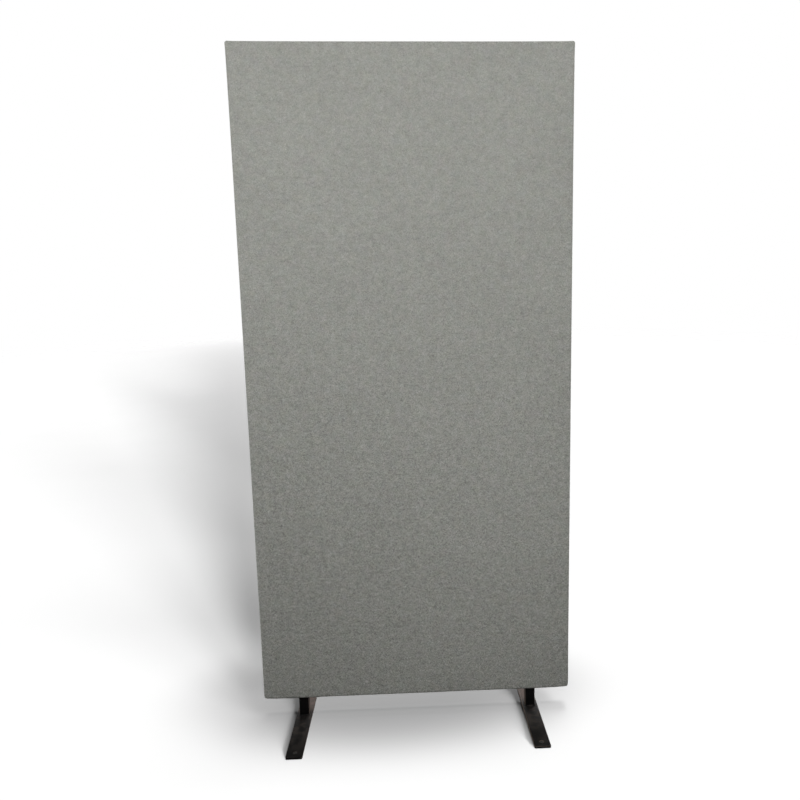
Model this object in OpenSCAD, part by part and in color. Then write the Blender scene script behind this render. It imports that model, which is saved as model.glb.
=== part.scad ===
// Free-standing acoustic divider screen: a cloth-covered absorbing panel on two T-shaped steel feet.
// Millimetres. X runs along the panel, Y from front to back, Z up.
// The origin is on the floor, under the middle of the panel.

/* [Panel] */
// Width of the finished panel
panel_w = 800; // [600:10:1200]
// Height of the finished panel
panel_h = 1600; // [1000:10:1900]
// Thickness of the finished panel
panel_t = 50; // [46:1:70]

/* [Cloth and wadding] */
// Thickness of the cloth
cloth_t = 1; // [0.8:0.1:1.4]
// Room for the wadding between the cloth and the frame
wadding_t = 5; // [3:0.5:6]
// Clearance that keeps the wadding free of the cloth
soft_gap = 0.3; // [0.2:0.05:0.5]
// Flat part of the cloth that is turned under the panel
cloth_turn = 11; // [9:0.5:12]

/* [Timber frame] */
// Width of the two upright timbers
stile_w = 38; // [30:1:45]
// Height of the top timber
top_rail_h = 38; // [30:1:60]
// Height of the middle timber
cross_rail_h = 38; // [30:1:60]
// Height of the bottom timber, which carries the feet
bottom_rail_h = 63; // [58:1:90]

/* [Frame screws] */
// Shank diameter of the wood screws in the frame's corners
frame_screw_d = 5; // [4:0.5:6]
// Length of the wood screws
frame_screw_l = 80; // [70:5:90]
// Head diameter of the wood screws
frame_screw_head_d = 9.6; // [8:0.2:11]
// Length of their points
frame_screw_point_l = 8; // [5:1:12]

/* [Bottom strip] */
// Width of the closing strip under the panel
strip_w = 32; // [30:1:34]
// Thickness of the closing strip
strip_t = 1; // [0.8:0.1:1.4]
// Distance of the strip's ends from the panel's sides
strip_inset = 15; // [10:1:30]

/* [Staples] */
// Width of a staple's crown
staple_crown = 10; // [8:0.5:12]
// Length of a staple's legs
staple_leg = 9; // [6:0.5:12]
// Width of the staple wire, along Y
staple_wire_w = 1.2; // [0.9:0.1:1.4]
// Thickness of the staple wire
staple_wire_t = 0.6; // [0.5:0.05:0.7]
// Distance between the staples that hold the cloth
staple_pitch = 40; // [30:1:60]
// Distance of the cloth's staples from its raw edge
staple_edge = 3; // [2.5:0.1:3.5]
// Clearance round a staple
staple_fit = 0.05; // [0.02:0.01:0.1]

/* [Feet] */
// Distance of each foot's middle from the panel's side
foot_inset = 100; // [95:5:200]
// Height from the base bar's underside to the top of the top plate
foot_h = 60; // [50:1:120]
// Length of the base bar, front to back
bar_l = 400; // [300:10:600]
// Width of the base bar
bar_w = 40; // [36:1:60]
// Thickness of the base bar
bar_t = 5; // [4:0.5:8]
// Rounding of the base bar's corners
bar_corner_r = 3.5; // [1:0.5:8]
// Outside width of the square tube
tube_w = 25; // [20:1:27]
// Wall of the square tube
tube_wall = 2; // [1.5:0.25:3]
// Outside rounding of the tube's edges
tube_corner_r = 3.5; // [3.2:0.1:5]
// Length of the top plate, along the panel
plate_l = 90; // [84:1:110]
// Depth of the top plate
plate_d = 30; // [28:1:34]
// Thickness of the top plate
plate_t = 4; // [3:0.5:6]
// Rounding of the top plate's corners
plate_corner_r = 3; // [1:0.5:6]
// Leg of the weld beads
weld_leg = 2.5; // [1.5:0.25:3]

/* [Foot screws] */
// Thread diameter of the screws that hold a foot
foot_screw_d = 6; // [5:0.5:8]
// Length of these screws under the head
foot_screw_l = 25; // [20:1:30]
// Distance between the two screws of a foot
foot_screw_spacing = 64; // [56:1:68]
// Head diameter
foot_screw_head_d = 10.5; // [9.5:0.1:12]
// Head height
foot_screw_head_h = 3.3; // [2.5:0.1:4]
// Width across the flats of the socket in the head
socket_w = 4; // [3:0.5:5]
// Depth of the socket
socket_depth = 2; // [1:0.1:2.4]
// Outside diameter of the washers
washer_d = 12; // [11:0.5:14]
// Thickness of the washers
washer_t = 1.6; // [1:0.1:2]
// Outside diameter of the threaded inserts
insert_d = 10; // [9.5:0.5:13]
// Length of the threaded inserts
insert_l = 15; // [10:1:20]
// Depth left free above the end of a foot screw
insert_spare = 3; // [1:0.5:6]

/* [Glides] */
// Diameter of the glides under the base bars
glide_d = 22; // [18:1:32]
// Thickness of the glides
glide_t = 1.5; // [1.2:0.1:6]
// Distance of a glide's middle from the end of its bar
glide_inset = 20; // [18:1:60]
// Shank diameter of the rivets that hold the glides
rivet_d = 4; // [3:0.25:5]
// Diameter of the rivets' countersunk heads
rivet_head_d = 10; // [8:0.25:12]
// Depth of a rivet head's face under the top of the bar
rivet_head_sink = 0.3; // [0.1:0.05:0.5]
// Diameter of a rivet's closed end
rivet_tail_d = 8; // [7:0.5:10]
// Thickness of a rivet's closed end
rivet_tail_t = 0.5; // [0.3:0.05:0.6]
// Height of a rivet's closed end above the floor
rivet_lift = 0.2; // [0.1:0.05:0.3]

/* [Fits] */
// Radial clearance of a screw, rivet or insert in its hole
hole_fit = 0.1; // [0.05:0.05:0.3]
// Radial clearance of a screw through a plate or a washer
through_fit = 0.3; // [0.2:0.05:0.5]

/* [Hidden] */
$fn = 64;

// Overrun of every cut past the face that it opens
cut = 1;
// Places of the screws along a rail's height, as shares of that height
rail_screw_shares = [0.3, 0.7];
// The same in the bottom rail, clear of the inserts for the feet
bottom_screw_shares = [0.55, 0.82];
// The closing strip has one staple for so many of the cloth's staples
strip_staple_every = 3;

// Cover: the rounding of its edges follows from the layers under it
edge_r = cloth_t + wadding_t;
half_t = panel_t / 2;
face_w = panel_w - 2 * edge_r;
face_h = panel_h - 2 * edge_r;
flange_edge = half_t - edge_r - cloth_turn;

// Frame: everything inside the cloth
frame_t = panel_t - 2 * edge_r;
frame_w = panel_w - 2 * cloth_t;
frame_h = panel_h - 2 * cloth_t;
frame_corner_r = wadding_t + soft_gap;
pad_t = wadding_t - soft_gap;
bay_w = frame_w - 2 * stile_w;
bottom_rail_top = bottom_rail_h - frame_h / 2;
top_rail_bottom = frame_h / 2 - top_rail_h;
cross_rail_bottom = (bottom_rail_top + top_rail_bottom - cross_rail_h) / 2;
cross_rail_top = cross_rail_bottom + cross_rail_h;

// Heights above the floor
bar_bottom = glide_t;
bar_top = bar_bottom + bar_t;
plate_top = bar_bottom + foot_h;
plate_bottom = plate_top - plate_t;
tube_l = plate_bottom - bar_top;
panel_bottom = plate_top + strip_t;
panel_mid = panel_bottom + panel_h / 2;
timber_bottom = panel_bottom + cloth_t;
washer_bottom = plate_bottom - washer_t;

// Feet
foot_x = panel_w / 2 - foot_inset;
bead = min(weld_leg, (plate_d - tube_w) / 2);
tube_inner_r = tube_corner_r - tube_wall;
glide_y = bar_l / 2 - glide_inset;
rivet_top = bar_top - rivet_head_sink;
rivet_cone_h = (rivet_head_d - rivet_d) / 2;
sink_r = rivet_head_d / 2 + rivet_head_sink + hole_fit;
foot_screw_top = washer_bottom + foot_screw_l;

// Staples
strip_l = panel_w - 2 * strip_inset;
cover_staple_y = flange_edge + staple_edge;
strip_staple_y = strip_w / 2 - staple_edge;
strip_staple_pitch = strip_staple_every * staple_pitch;
cover_staples_per_side = floor((strip_l / 2 - staple_crown) / staple_pitch + 1 / 2);
strip_staples_per_side = floor((strip_l / 2 - staple_crown) / strip_staple_pitch);

// Rectangle with round corners, centred
module rounded_rect(w, h, r) {
    square([w, h - 2 * r], center = true);
    square([w - 2 * r, h], center = true);
    for (x = [-1, 1], y = [-1, 1])
        translate([x * (w / 2 - r), y * (h / 2 - r)])
            circle(r = r);
}

// From the panel's own plane, X along, Y up and Z to the front, to its place above the floor
module in_panel() {
    translate([0, 0, panel_mid])
        rotate([90, 0, 0])
            children();
}

// Same shapes at the left and at the right foot
module at_foot(side) {
    translate([side * foot_x, 0, 0])
        children();
}

// Both screws of one foot
module at_foot_screws() {
    for (side = [-1, 1])
        translate([side * foot_screw_spacing / 2, 0, 0])
            children();
}

// Both ends of one base bar
module at_glides() {
    for (side = [-1, 1])
        translate([0, side * glide_y, 0])
            children();
}

// Carries a section, drawn outwards from a corner's axis, round the four corners and along the sides.
// The bottom side has its own section, the second child.
module round_the_panel() {
    for (x = [0, 1])
        mirror([x, 0, 0]) {
            for (y = [0, 1])
                mirror([0, y, 0])
                    translate([face_w / 2, face_h / 2, 0])
                        rotate_extrude(angle = 90)
                            children(0);
            translate([face_w / 2, face_h / 2, 0])
                rotate([90, 0, 0])
                    linear_extrude(face_h)
                        children(0);
        }
    translate([-face_w / 2, face_h / 2, 0])
        rotate([90, 0, 90])
            linear_extrude(face_w)
                children(0);
    mirror([0, 1, 0])
        translate([-face_w / 2, face_h / 2, 0])
            rotate([90, 0, 90])
                linear_extrude(face_w)
                    children(1);
}

// Quarter of a disc, its corner at the origin
module quarter_disc(r) {
    intersection() {
        circle(r = r);
        square([r, r]);
    }
}

// Straight wall under a quarter round: the outline of the panel's edge
module edge_section(r, height, base) {
    translate([0, base])
        square([r, height - r - base]);
    translate([0, height - r])
        quarter_disc(r);
}

// Section of the cloth at the panel's edge, from the centre plane or from the turned-under raw edge
module cloth_section(base) {
    difference() {
        edge_section(edge_r, half_t, base);
        translate([0, base - cut])
            square([edge_r - cloth_t, half_t - edge_r - base + cut]);
        intersection() {
            translate([0, half_t - edge_r])
                circle(r = edge_r - cloth_t);
            translate([0, half_t - edge_r - cut])
                square([edge_r, edge_r + cut]);
        }
    }
}

// Half of the cover: a tray of cloth that reaches to the seam in the centre plane
module cover_tray() {
    translate([-face_w / 2, -face_h / 2, half_t - cloth_t])
        cube([face_w, face_h, cloth_t]);
    round_the_panel() {
        cloth_section(0);
        cloth_section(flange_edge);
    }
}

// Layer of wadding with round edges, lying on the frame
module wadding_layer() {
    translate([-face_w / 2, -face_h / 2, frame_t / 2])
        cube([face_w, face_h, pad_t]);
    translate([0, 0, frame_t / 2])
        round_the_panel() {
            quarter_disc(pad_t);
            quarter_disc(pad_t);
        }
}

// Timber or batt between two widths and two heights, cut to the frame's outline
module frame_member(left, right, low, high) {
    in_panel()
        translate([0, 0, -frame_t / 2])
            linear_extrude(frame_t)
                intersection() {
                    rounded_rect(frame_w, frame_h, frame_corner_r);
                    translate([left, low])
                        square([right - left, high - low]);
                }
}

// Wood screw along X, its head flush with the plane x = 0, or grown past that plane by an overrun
module wood_screw(fit, overrun) {
    shank_r = frame_screw_d / 2 + fit;
    head_r = frame_screw_head_d / 2 + fit;
    rotate([0, 90, 0]) {
        translate([0, 0, -overrun])
            cylinder(h = head_r - shank_r + overrun, r1 = head_r + overrun, r2 = shank_r);
        cylinder(h = frame_screw_l - frame_screw_point_l, r = shank_r);
        translate([0, 0, frame_screw_l - frame_screw_point_l])
            cylinder(h = frame_screw_point_l, r1 = shank_r, r2 = 0);
    }
}

// One screw for every share of a rail's height, through both stiles
module rail_screws(low, height, shares, fit, overrun) {
    for (side = [0, 1], share = shares)
        mirror([side, 0, 0])
            translate([-frame_w / 2, low + share * height, 0])
                wood_screw(fit, overrun);
}

module all_rail_screws(fit, overrun) {
    in_panel() {
        rail_screws(-frame_h / 2, bottom_rail_h, bottom_screw_shares, fit, overrun);
        rail_screws(cross_rail_bottom, cross_rail_h, rail_screw_shares, fit, overrun);
        rail_screws(top_rail_bottom, top_rail_h, rail_screw_shares, fit, overrun);
    }
}

// Staple with its crown's underside at z = 0 and its legs up
module staple(fit, below) {
    wide = staple_wire_w + 2 * fit;
    thick = staple_wire_t + fit;
    translate([-staple_crown / 2 - fit, -wide / 2, -below])
        cube([staple_crown + 2 * fit, wide, thick + below]);
    for (side = [0, 1])
        mirror([side, 0, 0])
            translate([staple_crown / 2 - staple_wire_t - fit, -wide / 2, -below])
                cube([staple_wire_t + 2 * fit, wide, staple_leg + fit + below]);
}

// Staples of the turned-under cloth, for the front or the rear flange
module cover_staple_row(side, fit, below) {
    for (end = [-1, 1], i = [0 : cover_staples_per_side - 1])
        translate([end * (i + 1 / 2) * staple_pitch, side * cover_staple_y, panel_bottom])
            staple(fit, below);
}

// Staples of the closing strip, midway between those of the cloth
module strip_staple_row(side, fit, below) {
    for (i = [-strip_staples_per_side : strip_staples_per_side])
        translate([i * strip_staple_pitch, side * strip_staple_y, plate_top])
            staple(fit, below);
}

// Both rows of both kinds, with their clearance, to be cut out of what they go through
module staple_holes() {
    for (side = [-1, 1]) {
        cover_staple_row(side, staple_fit, cut);
        strip_staple_row(side, staple_fit, cut);
    }
}

// Bead between a square tube and a flat face: a triangle carried round the tube's section
module weld_bead() {
    straight = tube_w - 2 * tube_corner_r;
    for (turn = [0 : 3])
        rotate([0, 0, turn * 90]) {
            translate([straight / 2, straight / 2, 0])
                rotate_extrude(angle = 90)
                    translate([tube_corner_r, 0])
                        polygon([[0, 0], [bead, 0], [0, bead]]);
            translate([straight / 2 + tube_corner_r, straight / 2, 0])
                rotate([90, 0, 0])
                    linear_extrude(straight)
                        polygon([[0, 0], [bead, 0], [0, bead]]);
        }
}

module stile() {
    difference() {
        frame_member(-frame_w / 2, -bay_w / 2, -frame_h / 2, frame_h / 2);
        all_rail_screws(hole_fit, cut);
        staple_holes();
    }
}

module left_stile() {
    color("burlywood") stile();
}

module right_stile() {
    color("burlywood") mirror([1, 0, 0]) stile();
}

module rail(low, high) {
    difference() {
        frame_member(-bay_w / 2, bay_w / 2, low, high);
        all_rail_screws(hole_fit, cut);
    }
}

module top_rail() {
    color("burlywood") rail(top_rail_bottom, frame_h / 2);
}

module cross_rail() {
    color("burlywood") rail(cross_rail_bottom, cross_rail_top);
}

// The bottom rail also has the bores for the inserts and the staples' holes
module bottom_rail() {
    color("tan")
        difference() {
            rail(-frame_h / 2, bottom_rail_top);
            for (side = [-1, 1])
                at_foot(side)
                    at_foot_screws() {
                        translate([0, 0, timber_bottom - cut])
                            cylinder(h = insert_l + cut, r = insert_d / 2 + hole_fit);
                        translate([0, 0, timber_bottom])
                            cylinder(h = foot_screw_top - timber_bottom + insert_spare,
                                r = foot_screw_d / 2 + through_fit);
                    }
            staple_holes();
        }
}

module frame_screws() {
    color("gold") all_rail_screws(0, 0);
}

module upper_core() {
    color("khaki") frame_member(-bay_w / 2, bay_w / 2, cross_rail_top, top_rail_bottom);
}

module lower_core() {
    color("khaki") frame_member(-bay_w / 2, bay_w / 2, bottom_rail_top, cross_rail_bottom);
}

module front_wadding() {
    color("whitesmoke") in_panel() wadding_layer();
}

module rear_wadding() {
    color("whitesmoke") in_panel() mirror([0, 0, 1]) wadding_layer();
}

module front_cover() {
    color([0.52, 0.52, 0.49])
        difference() {
            in_panel() cover_tray();
            staple_holes();
        }
}

module rear_cover() {
    color([0.52, 0.52, 0.49])
        difference() {
            in_panel() mirror([0, 0, 1]) cover_tray();
            staple_holes();
        }
}

module cover_staples() {
    color("silver")
        for (side = [-1, 1])
            cover_staple_row(side, 0, 0);
}

// Closing strip, with holes for the foot screws and its own staples
module bottom_strip() {
    color("dimgray")
        difference() {
            translate([-strip_l / 2, -strip_w / 2, plate_top])
                cube([strip_l, strip_w, strip_t]);
            for (side = [-1, 1]) {
                at_foot(side)
                    at_foot_screws()
                        translate([0, 0, plate_top - cut])
                            cylinder(h = strip_t + 2 * cut, r = foot_screw_d / 2 + through_fit);
                strip_staple_row(side, staple_fit, cut);
            }
        }
}

module strip_staples() {
    color("silver")
        for (side = [-1, 1])
            strip_staple_row(side, 0, 0);
}

module thread_inserts() {
    color("gold")
        for (side = [-1, 1])
            at_foot(side)
                at_foot_screws()
                    difference() {
                        translate([0, 0, timber_bottom])
                            cylinder(h = insert_l, r = insert_d / 2);
                        translate([0, 0, timber_bottom - cut])
                            cylinder(h = insert_l + 2 * cut, r = foot_screw_d / 2 + hole_fit);
                    }
}

// Flat plate welded on the tube, with a hole for each foot screw
module top_plate() {
    translate([0, 0, plate_bottom])
        difference() {
            linear_extrude(plate_t)
                rounded_rect(plate_l, plate_d, plate_corner_r);
            at_foot_screws()
                translate([0, 0, -cut])
                    cylinder(h = plate_t + 2 * cut, r = foot_screw_d / 2 + through_fit);
        }
}

module left_top_plate() {
    color([0.10, 0.10, 0.10]) at_foot(-1) top_plate();
}

module right_top_plate() {
    color([0.10, 0.10, 0.10]) at_foot(1) top_plate();
}

// Square tube, open at both ends between the base bar and the top plate
module upright() {
    translate([0, 0, bar_top])
        linear_extrude(tube_l)
            difference() {
                rounded_rect(tube_w, tube_w, tube_corner_r);
                rounded_rect(tube_w - 2 * tube_wall, tube_w - 2 * tube_wall, tube_inner_r);
            }
}

module left_upright() {
    color([0.10, 0.10, 0.10]) at_foot(-1) upright();
}

module right_upright() {
    color([0.10, 0.10, 0.10]) at_foot(1) upright();
}

// A bead round the tube's foot and one round its head
module foot_welds() {
    translate([0, 0, bar_top])
        weld_bead();
    translate([0, 0, plate_bottom])
        mirror([0, 0, 1])
            weld_bead();
}

module left_welds() {
    color([0.13, 0.13, 0.13]) at_foot(-1) foot_welds();
}

module right_welds() {
    color([0.13, 0.13, 0.13]) at_foot(1) foot_welds();
}

// Flat bar with round corners and a countersunk hole near each end
module base_bar() {
    difference() {
        translate([0, 0, bar_bottom])
            linear_extrude(bar_t)
                rounded_rect(bar_w, bar_l, bar_corner_r);
        at_glides() {
            translate([0, 0, bar_bottom - cut])
                cylinder(h = bar_t + 2 * cut, r = rivet_d / 2 + hole_fit);
            translate([0, 0, bar_top - sink_r])
                cylinder(h = sink_r + cut, r1 = 0, r2 = sink_r + cut);
        }
    }
}

module left_base_bar() {
    color([0.12, 0.12, 0.12]) at_foot(-1) base_bar();
}

module right_base_bar() {
    color([0.12, 0.12, 0.12]) at_foot(1) base_bar();
}

// Button-head screw with a hexagon socket, pointing up from under the washer
module foot_screw() {
    head_r = foot_screw_head_d / 2;
    dome_r = (head_r * head_r + foot_screw_head_h * foot_screw_head_h) / (2 * foot_screw_head_h);
    translate([0, 0, washer_bottom])
        cylinder(h = foot_screw_l, r = foot_screw_d / 2);
    difference() {
        intersection() {
            translate([0, 0, washer_bottom - foot_screw_head_h + dome_r])
                sphere(r = dome_r);
            translate([0, 0, washer_bottom - foot_screw_head_h])
                cylinder(h = foot_screw_head_h, r = head_r);
        }
        translate([0, 0, washer_bottom - foot_screw_head_h - cut])
            cylinder(h = socket_depth + cut, d = socket_w / cos(30), $fn = 6);
    }
}

module foot_screws() {
    color("silver")
        for (side = [-1, 1])
            at_foot(side)
                at_foot_screws()
                    foot_screw();
}

module foot_washers() {
    color("silver")
        for (side = [-1, 1])
            at_foot(side)
                at_foot_screws()
                    translate([0, 0, washer_bottom])
                        difference() {
                            cylinder(h = washer_t, r = washer_d / 2);
                            translate([0, 0, -cut])
                                cylinder(h = washer_t + 2 * cut, r = foot_screw_d / 2 + through_fit);
                        }
}

// Low plastic disc with a pocket under it for the rivet's closed end
module glide() {
    difference() {
        cylinder(h = glide_t, r = glide_d / 2);
        translate([0, 0, -cut])
            cylinder(h = glide_t + 2 * cut, r = rivet_d / 2 + hole_fit);
        translate([0, 0, -cut])
            cylinder(h = rivet_lift + rivet_tail_t + cut, r = rivet_tail_d / 2 + hole_fit);
    }
}

module left_glides() {
    color([0.16, 0.16, 0.16]) at_foot(-1) at_glides() glide();
}

module right_glides() {
    color([0.16, 0.16, 0.16]) at_foot(1) at_glides() glide();
}

// Rivet with a countersunk head in the bar and a flat closed end in the glide
module glide_rivet() {
    translate([0, 0, rivet_lift])
        cylinder(h = rivet_tail_t, r = rivet_tail_d / 2);
    translate([0, 0, rivet_lift])
        cylinder(h = rivet_top - rivet_lift, r = rivet_d / 2);
    translate([0, 0, rivet_top - rivet_cone_h])
        cylinder(h = rivet_cone_h, r1 = rivet_d / 2, r2 = rivet_head_d / 2);
}

module left_glide_rivets() {
    color([0.25, 0.25, 0.25]) at_foot(-1) at_glides() glide_rivet();
}

module right_glide_rivets() {
    color([0.25, 0.25, 0.25]) at_foot(1) at_glides() glide_rivet();
}

left_stile();
right_stile();
top_rail();
cross_rail();
bottom_rail();
frame_screws();
upper_core();
lower_core();
front_wadding();
rear_wadding();
front_cover();
rear_cover();
cover_staples();
bottom_strip();
strip_staples();
thread_inserts();
left_top_plate();
right_top_plate();
left_upright();
right_upright();
left_welds();
right_welds();
left_base_bar();
right_base_bar();
foot_screws();
foot_washers();
left_glides();
right_glides();
left_glide_rivets();
right_glide_rivets();
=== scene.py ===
# %% [markdown]
# # A cloth-covered acoustic screen on two steel feet
#
# The screen is a timber frame filled with pressed fibre, padded with thin wadding and covered
# in grey melange cloth. Two black steel feet, each a flat bar with a short square tube, are
# bolted under it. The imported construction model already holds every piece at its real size,
# so this file only dresses it: it gives the hard pieces their finish and replaces the soft
# ones with meshes that look like cloth, wadding and fibre.

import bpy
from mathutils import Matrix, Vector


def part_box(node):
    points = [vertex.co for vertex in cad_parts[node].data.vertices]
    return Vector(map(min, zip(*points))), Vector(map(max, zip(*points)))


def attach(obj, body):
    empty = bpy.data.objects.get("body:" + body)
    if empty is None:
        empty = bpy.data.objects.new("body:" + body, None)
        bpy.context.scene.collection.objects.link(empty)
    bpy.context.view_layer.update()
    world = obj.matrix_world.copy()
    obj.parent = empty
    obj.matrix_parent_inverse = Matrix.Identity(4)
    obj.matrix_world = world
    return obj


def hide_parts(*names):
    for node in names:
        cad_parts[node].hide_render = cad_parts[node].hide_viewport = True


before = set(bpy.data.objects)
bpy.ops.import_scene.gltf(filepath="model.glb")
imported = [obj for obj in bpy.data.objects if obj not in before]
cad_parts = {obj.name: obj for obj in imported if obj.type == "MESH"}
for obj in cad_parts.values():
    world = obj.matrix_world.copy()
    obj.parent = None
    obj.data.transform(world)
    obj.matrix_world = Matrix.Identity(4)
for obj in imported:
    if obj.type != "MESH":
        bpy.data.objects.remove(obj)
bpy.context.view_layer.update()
print("nodes in the frame:", len(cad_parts))

# %% Tools and units
import math

import bmesh
import bpy
from mathutils import Matrix, Vector, noise

MM = 0.001
BODY = "root"
scene = bpy.context.scene

# %% [markdown]
# ## Camera
#
# A photograph of a flat rectangle gives away where it was taken from: its four corners and the
# two feet fix the camera's place, its tilt and its lens. The camera stood about 1.8 m in front
# of the screen at 1.03 m above the floor, looked down by 9 degrees, and the picture was cut
# out of a larger one, which a small lens shift repeats.

# %% Camera
camera_place = Vector((-4.4, -1795.0, 1031.7)) * MM
camera_pitch = math.radians(9.094)
camera_yaw = math.radians(2.713)
camera_roll = math.radians(-1.005)
focal_px = 721.7
image_px = 800
centre_px = (443.4, 435.2)

camera_data = bpy.data.cameras.new("photo_camera")
camera_data.sensor_width = 36.0
camera_data.lens = focal_px * camera_data.sensor_width / image_px
camera_data.shift_x = 0.5 - centre_px[0] / image_px
camera_data.shift_y = centre_px[1] / image_px - 0.5

level_view = Vector((math.sin(camera_yaw), math.cos(camera_yaw), 0))
level_right = Vector((math.cos(camera_yaw), -math.sin(camera_yaw), 0))
upright = Vector((0, 0, 1))
view = level_view * math.cos(camera_pitch) - upright * math.sin(camera_pitch)
above_view = level_view * math.sin(camera_pitch) + upright * math.cos(camera_pitch)
right = level_right * math.cos(camera_roll) + above_view * math.sin(camera_roll)
up = above_view * math.cos(camera_roll) - level_right * math.sin(camera_roll)

camera = bpy.data.objects.new("photo_camera", camera_data)
scene.collection.objects.link(camera)
turn = Matrix((right, up, -view)).transposed().to_4x4()
camera.matrix_world = Matrix.Translation(camera_place) @ turn
scene.camera = camera
print("lens", round(camera_data.lens, 2), "mm")

# %% [markdown]
# ## Floor, surroundings and lights
#
# The screen stands in a plain white studio. The floor is one very large disc that fades out
# far away, so that no horizon line crosses the picture. The surroundings are white where the
# camera looks at them, but give only a dim light, as a large room does. To everything but
# the camera the floor is dark too, or it would light the screen from below. One wide soft box
# in front lights the cloth, more above than below, a small low one fills in the lower part,
# and four others light the back, the sides and the top without reaching the front. Four far
# lights reach the floor only: one from overhead and three from the front right, low, middle
# and high. They make the floor white and throw the screen's soft shadows.

# %% Node helpers
def new_material(name):
    """A material, its node tree and its main shader."""
    material = bpy.data.materials.new(name)
    material.use_nodes = True
    return material, material.node_tree, material.node_tree.nodes["Principled BSDF"]


def feed(tree, socket, value):
    """Links an output to a socket, or sets the socket to a number or colour."""
    if isinstance(value, bpy.types.NodeSocket):
        tree.links.new(value, socket)
    else:
        socket.default_value = value


def add(tree, kind, inputs=(), **settings):
    """A new node of a kind, with its settings, and its inputs fed by name or number."""
    node = tree.nodes.new("ShaderNode" + kind)
    for name, value in settings.items():
        setattr(node, name, value)
    for name, value in dict(inputs).items():
        feed(tree, node.inputs[name], value)
    return node


print("made helpers for materials and nodes")


# %% Helpers for numbers, vectors and colours
def maths(tree, operation, *values, clamp=False):
    """The result of one sum or function of up to three numbers."""
    node = add(tree, "Math", dict(enumerate(values)), operation=operation, use_clamp=clamp)
    return node.outputs[0]


def product(tree, first, *others):
    """The product of two or more numbers."""
    for other in others:
        first = maths(tree, "MULTIPLY", first, other)
    return first


def vector_maths(tree, operation, *vectors):
    """The result of one sum or product of vectors, or the length of one."""
    node = add(tree, "VectorMath", dict(enumerate(vectors)), operation=operation)
    return node.outputs["Value" if operation == "LENGTH" else "Vector"]


def joined(tree, *numbers):
    """A vector made of two or three numbers."""
    return add(tree, "CombineXYZ", dict(enumerate(numbers))).outputs[0]


def blend(tree, factor, low, high):
    """A number between low and high."""
    node = add(tree, "Mix", {0: factor, 2: low, 3: high}, data_type="FLOAT")
    return node.outputs[0]


def tint(tree, factor, low, high, way="MIX"):
    """A colour between low and high, or high laid over low in another way."""
    node = add(tree, "Mix", {0: factor, 6: low, 7: high}, data_type="RGBA", blend_type=way)
    return node.outputs[2]


def spread(tree, value, low, high, out_low=0.0, out_high=1.0, smooth=True):
    """Maps low to high onto another range, with soft ends or in a straight line."""
    way = "SMOOTHSTEP" if smooth else "LINEAR"
    numbers = {0: value, 1: low, 2: high, 3: out_low, 4: out_high}
    return add(tree, "MapRange", numbers, interpolation_type=way).outputs[0]


print("made helpers for numbers, vectors and colours")


# %% Helpers for noise and greys
def speckle(tree, vector, size, detail, rough=0.5):
    """Cloudy noise whose grains measure about one size, in metres."""
    numbers = {"Vector": vector, "Scale": 1 / size, "Detail": detail, "Roughness": rough}
    return add(tree, "TexNoise", numbers).outputs[0]


def vary(tree, speckles, low, high):
    """A number between low and high, from noise, which mostly stays between 0.3 and 0.7."""
    return spread(tree, speckles, 0.3, 0.7, low, high, smooth=False)


def grey(value):
    """A grey of one brightness."""
    return (value, value, value, 1)


print("a middle grey is", grey(0.5))

# %% [markdown]
# The shadow of so soft a light fades sooner than the one in a studio photograph. So a painted
# shadow darkens the floor's own colour a little as well, in an oval under the screen's foot and
# along a faint fan behind the screen to the left. Both are painted on the floor and stay where
# they are from every side. The fan and the floor fade with a distance that counts a step
# sideways several times, so that the fan ends in a round tip.

# %% Painted shadows on the floor
foot_shadow_share = 0.517
foot_centre = (-0.09, 0.138, 0)
foot_size = (0.518, 0.318, 1)
foot_edge = 5.0
fan_shadow_share = 0.30
fan_angle = math.radians(14)
fan_width = math.radians(5.2)
fan_full = 4.3
fan_from = 8.0
fan_to = 110.0
sideways_count = 7.0


def fall_off(tree, distance, power):
    """1 in the middle, falling towards 0 past a distance of 1, faster for a higher power."""
    raised = maths(tree, "POWER", distance, power)
    return maths(tree, "EXPONENT", maths(tree, "MULTIPLY", raised, -1.0))


def farness(tree, place):
    """How far out a place lies, with its distance sideways counted several times."""
    counted = vector_maths(tree, "MULTIPLY", place, (sideways_count, 1, 1))
    return vector_maths(tree, "LENGTH", counted)


def painted_foot_shadow(tree, place):
    """The share of its colour that the painted shadow takes from the floor under the screen's foot."""
    from_foot = vector_maths(tree, "SUBTRACT", place, foot_centre)
    distance = vector_maths(tree, "LENGTH", vector_maths(tree, "DIVIDE", from_foot, foot_size))
    return maths(tree, "MULTIPLY", fall_off(tree, distance, foot_edge), foot_shadow_share)


def painted_fan_shadow(tree, place, far):
    """The share of its colour that the painted shadow takes from the floor along the fan."""
    axes = add(tree, "SeparateXYZ", {0: place}).outputs
    leftward = maths(tree, "MULTIPLY", axes["X"], -1.0)
    bearing = maths(tree, "ARCTAN2", leftward, axes["Y"])
    aside = maths(tree, "DIVIDE", maths(tree, "SUBTRACT", bearing, fan_angle), fan_width)
    across = fall_off(tree, maths(tree, "ABSOLUTE", aside), 2.0)
    begun = spread(tree, axes["Y"], 0.0, fan_full, 0.0, fan_shadow_share)
    remaining = spread(tree, far, fan_from, fan_to, 1.0, 0.0)
    return product(tree, across, begun, remaining)


print("the fan reaches its full strength", fan_full, "m behind the screen")

# %% Floor
floor_radius = 150.0
fade_from = 60.0
fade_to = 140.0
floor_cloud = 0.6
floor_low = grey(0.256)
floor_high = grey(0.262)
floor_dark = grey(0.05)

floor_mesh = bmesh.new()
bmesh.ops.create_circle(floor_mesh, cap_ends=True, segments=96, radius=floor_radius)
floor_data = bpy.data.meshes.new("floor")
floor_mesh.to_mesh(floor_data)
floor_mesh.free()
floor = bpy.data.objects.new("floor", floor_data)
scene.collection.objects.link(floor)

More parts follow.
